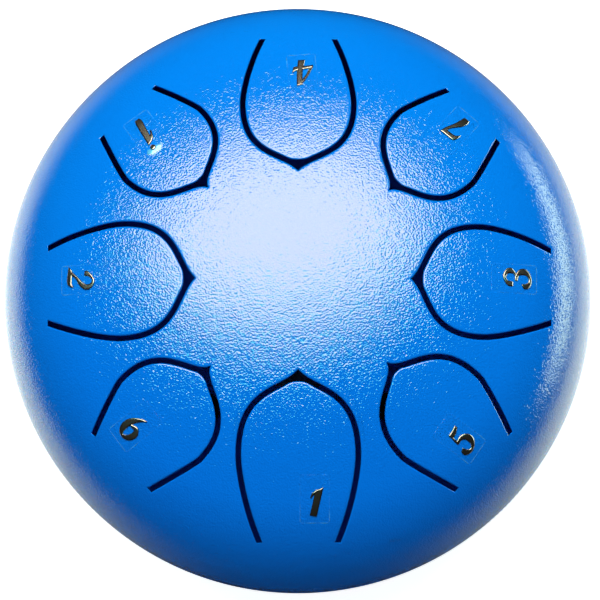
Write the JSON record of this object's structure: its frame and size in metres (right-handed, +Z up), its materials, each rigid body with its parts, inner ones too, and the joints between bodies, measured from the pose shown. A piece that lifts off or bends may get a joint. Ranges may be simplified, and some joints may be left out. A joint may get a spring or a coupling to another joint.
{
  "type": "steel tongue drum",
  "caption": "Round steel drum of joined upper and lower shells, with tongues of graded length cut in the dome that bend and ring when struck, a numeral on each and rubber feet below.",
  "frame": {"origin": "centre of the drum on the floor, between the feet", "axes": "+Z up through the dome, -Y towards the player and the longest tongue, +X to the player's right"},
  "size_m": [0.1553, 0.1552, 0.087],
  "materials": {
    "powder_coat": "blue powder coat on steel sheet, fine leather texture, semi-gloss",
    "clear_film": "clear glossy film",
    "gilt_numeral": "polished antique gold",
    "foot_rubber": "matt black moulded rubber",
    "zinc_steel": "zinc-plated"
  },
  "bodies": {
    "drum": {"top_shell": "powder_coat", "bottom_shell": "powder_coat", "seam_weld": "powder_coat", "foot_1": "foot_rubber", "foot_2": "foot_rubber", "foot_3": "foot_rubber", "foot_4": "foot_rubber", "foot_screws": "zinc_steel", "foot_washers": "zinc_steel", "foot_nuts": "zinc_steel"},
    "tongue_1_body": {"tongue_1": "powder_coat", "film_1": "clear_film", "numeral_1": "gilt_numeral"},
    "tongue_2_body": {"tongue_2": "powder_coat", "film_2": "clear_film", "numeral_2": "gilt_numeral"},
    "tongue_3_body": {"tongue_3": "powder_coat", "film_3": "clear_film", "numeral_3": "gilt_numeral"},
    "tongue_4_body": {"tongue_4": "powder_coat", "film_4": "clear_film", "numeral_4": "gilt_numeral"},
    "tongue_5_body": {"tongue_5": "powder_coat", "film_5": "clear_film", "numeral_5": "gilt_numeral"},
    "tongue_6_body": {"tongue_6": "powder_coat", "film_6": "clear_film", "numeral_6": "gilt_numeral"},
    "tongue_7_body": {"tongue_7": "powder_coat", "film_7": "clear_film", "numeral_7": "gilt_numeral"},
    "tongue_high_1_body": {"tongue_high_1": "powder_coat", "film_high_1": "clear_film", "numeral_high_1": "gilt_numeral"}
  },
  "joints": [
    {"name": "tongue_1_flex", "type": "hinge", "parent": "drum", "child": "tongue_1_body", "pos_m": [0.0002, -0.066, 0.07078], "axis": [1, 0.003, 0], "range_deg": [-0.6, 0.6], "stiffness_Nm_per_rad": 43.4},
    {"name": "tongue_2_flex", "type": "hinge", "parent": "drum", "child": "tongue_2_body", "pos_m": [-0.06409, -0.00038, 0.0723], "axis": [0.0059, -1, 0], "range_deg": [-0.6, 0.6], "stiffness_Nm_per_rad": 46.9},
    {"name": "tongue_3_flex", "type": "hinge", "parent": "drum", "child": "tongue_3_body", "pos_m": [0.06501, -0.00059, 0.07159], "axis": [0.0091, 1, 0], "range_deg": [-0.6, 0.6], "stiffness_Nm_per_rad": 47.5},
    {"name": "tongue_4_flex", "type": "hinge", "parent": "drum", "child": "tongue_4_body", "pos_m": [0.00017, 0.06422, 0.0722], "axis": [-1, 0.0026, 0], "range_deg": [-0.6, 0.6], "stiffness_Nm_per_rad": 47.3},
    {"name": "tongue_5_flex", "type": "hinge", "parent": "drum", "child": "tongue_5_body", "pos_m": [0.04733, -0.04543, 0.07111], "axis": [0.6925, 0.7214, 0], "range_deg": [-0.6, 0.6], "stiffness_Nm_per_rad": 50},
    {"name": "tongue_6_flex", "type": "hinge", "parent": "drum", "child": "tongue_6_body", "pos_m": [-0.04485, -0.04577, 0.0723], "axis": [0.7142, -0.6999, 0], "range_deg": [-0.6, 0.6], "stiffness_Nm_per_rad": 53.2},
    {"name": "tongue_7_flex", "type": "hinge", "parent": "drum", "child": "tongue_7_body", "pos_m": [0.04518, 0.04395, 0.07304], "axis": [-0.6973, 0.7168, 0], "range_deg": [-0.6, 0.6], "stiffness_Nm_per_rad": 52.3},
    {"name": "tongue_high_1_flex", "type": "hinge", "parent": "drum", "child": "tongue_high_1_body", "pos_m": [-0.04389, 0.04478, 0.07326], "axis": [-0.7142, -0.6999, 0], "range_deg": [-0.6, 0.6], "stiffness_Nm_per_rad": 53.6}
  ]
}
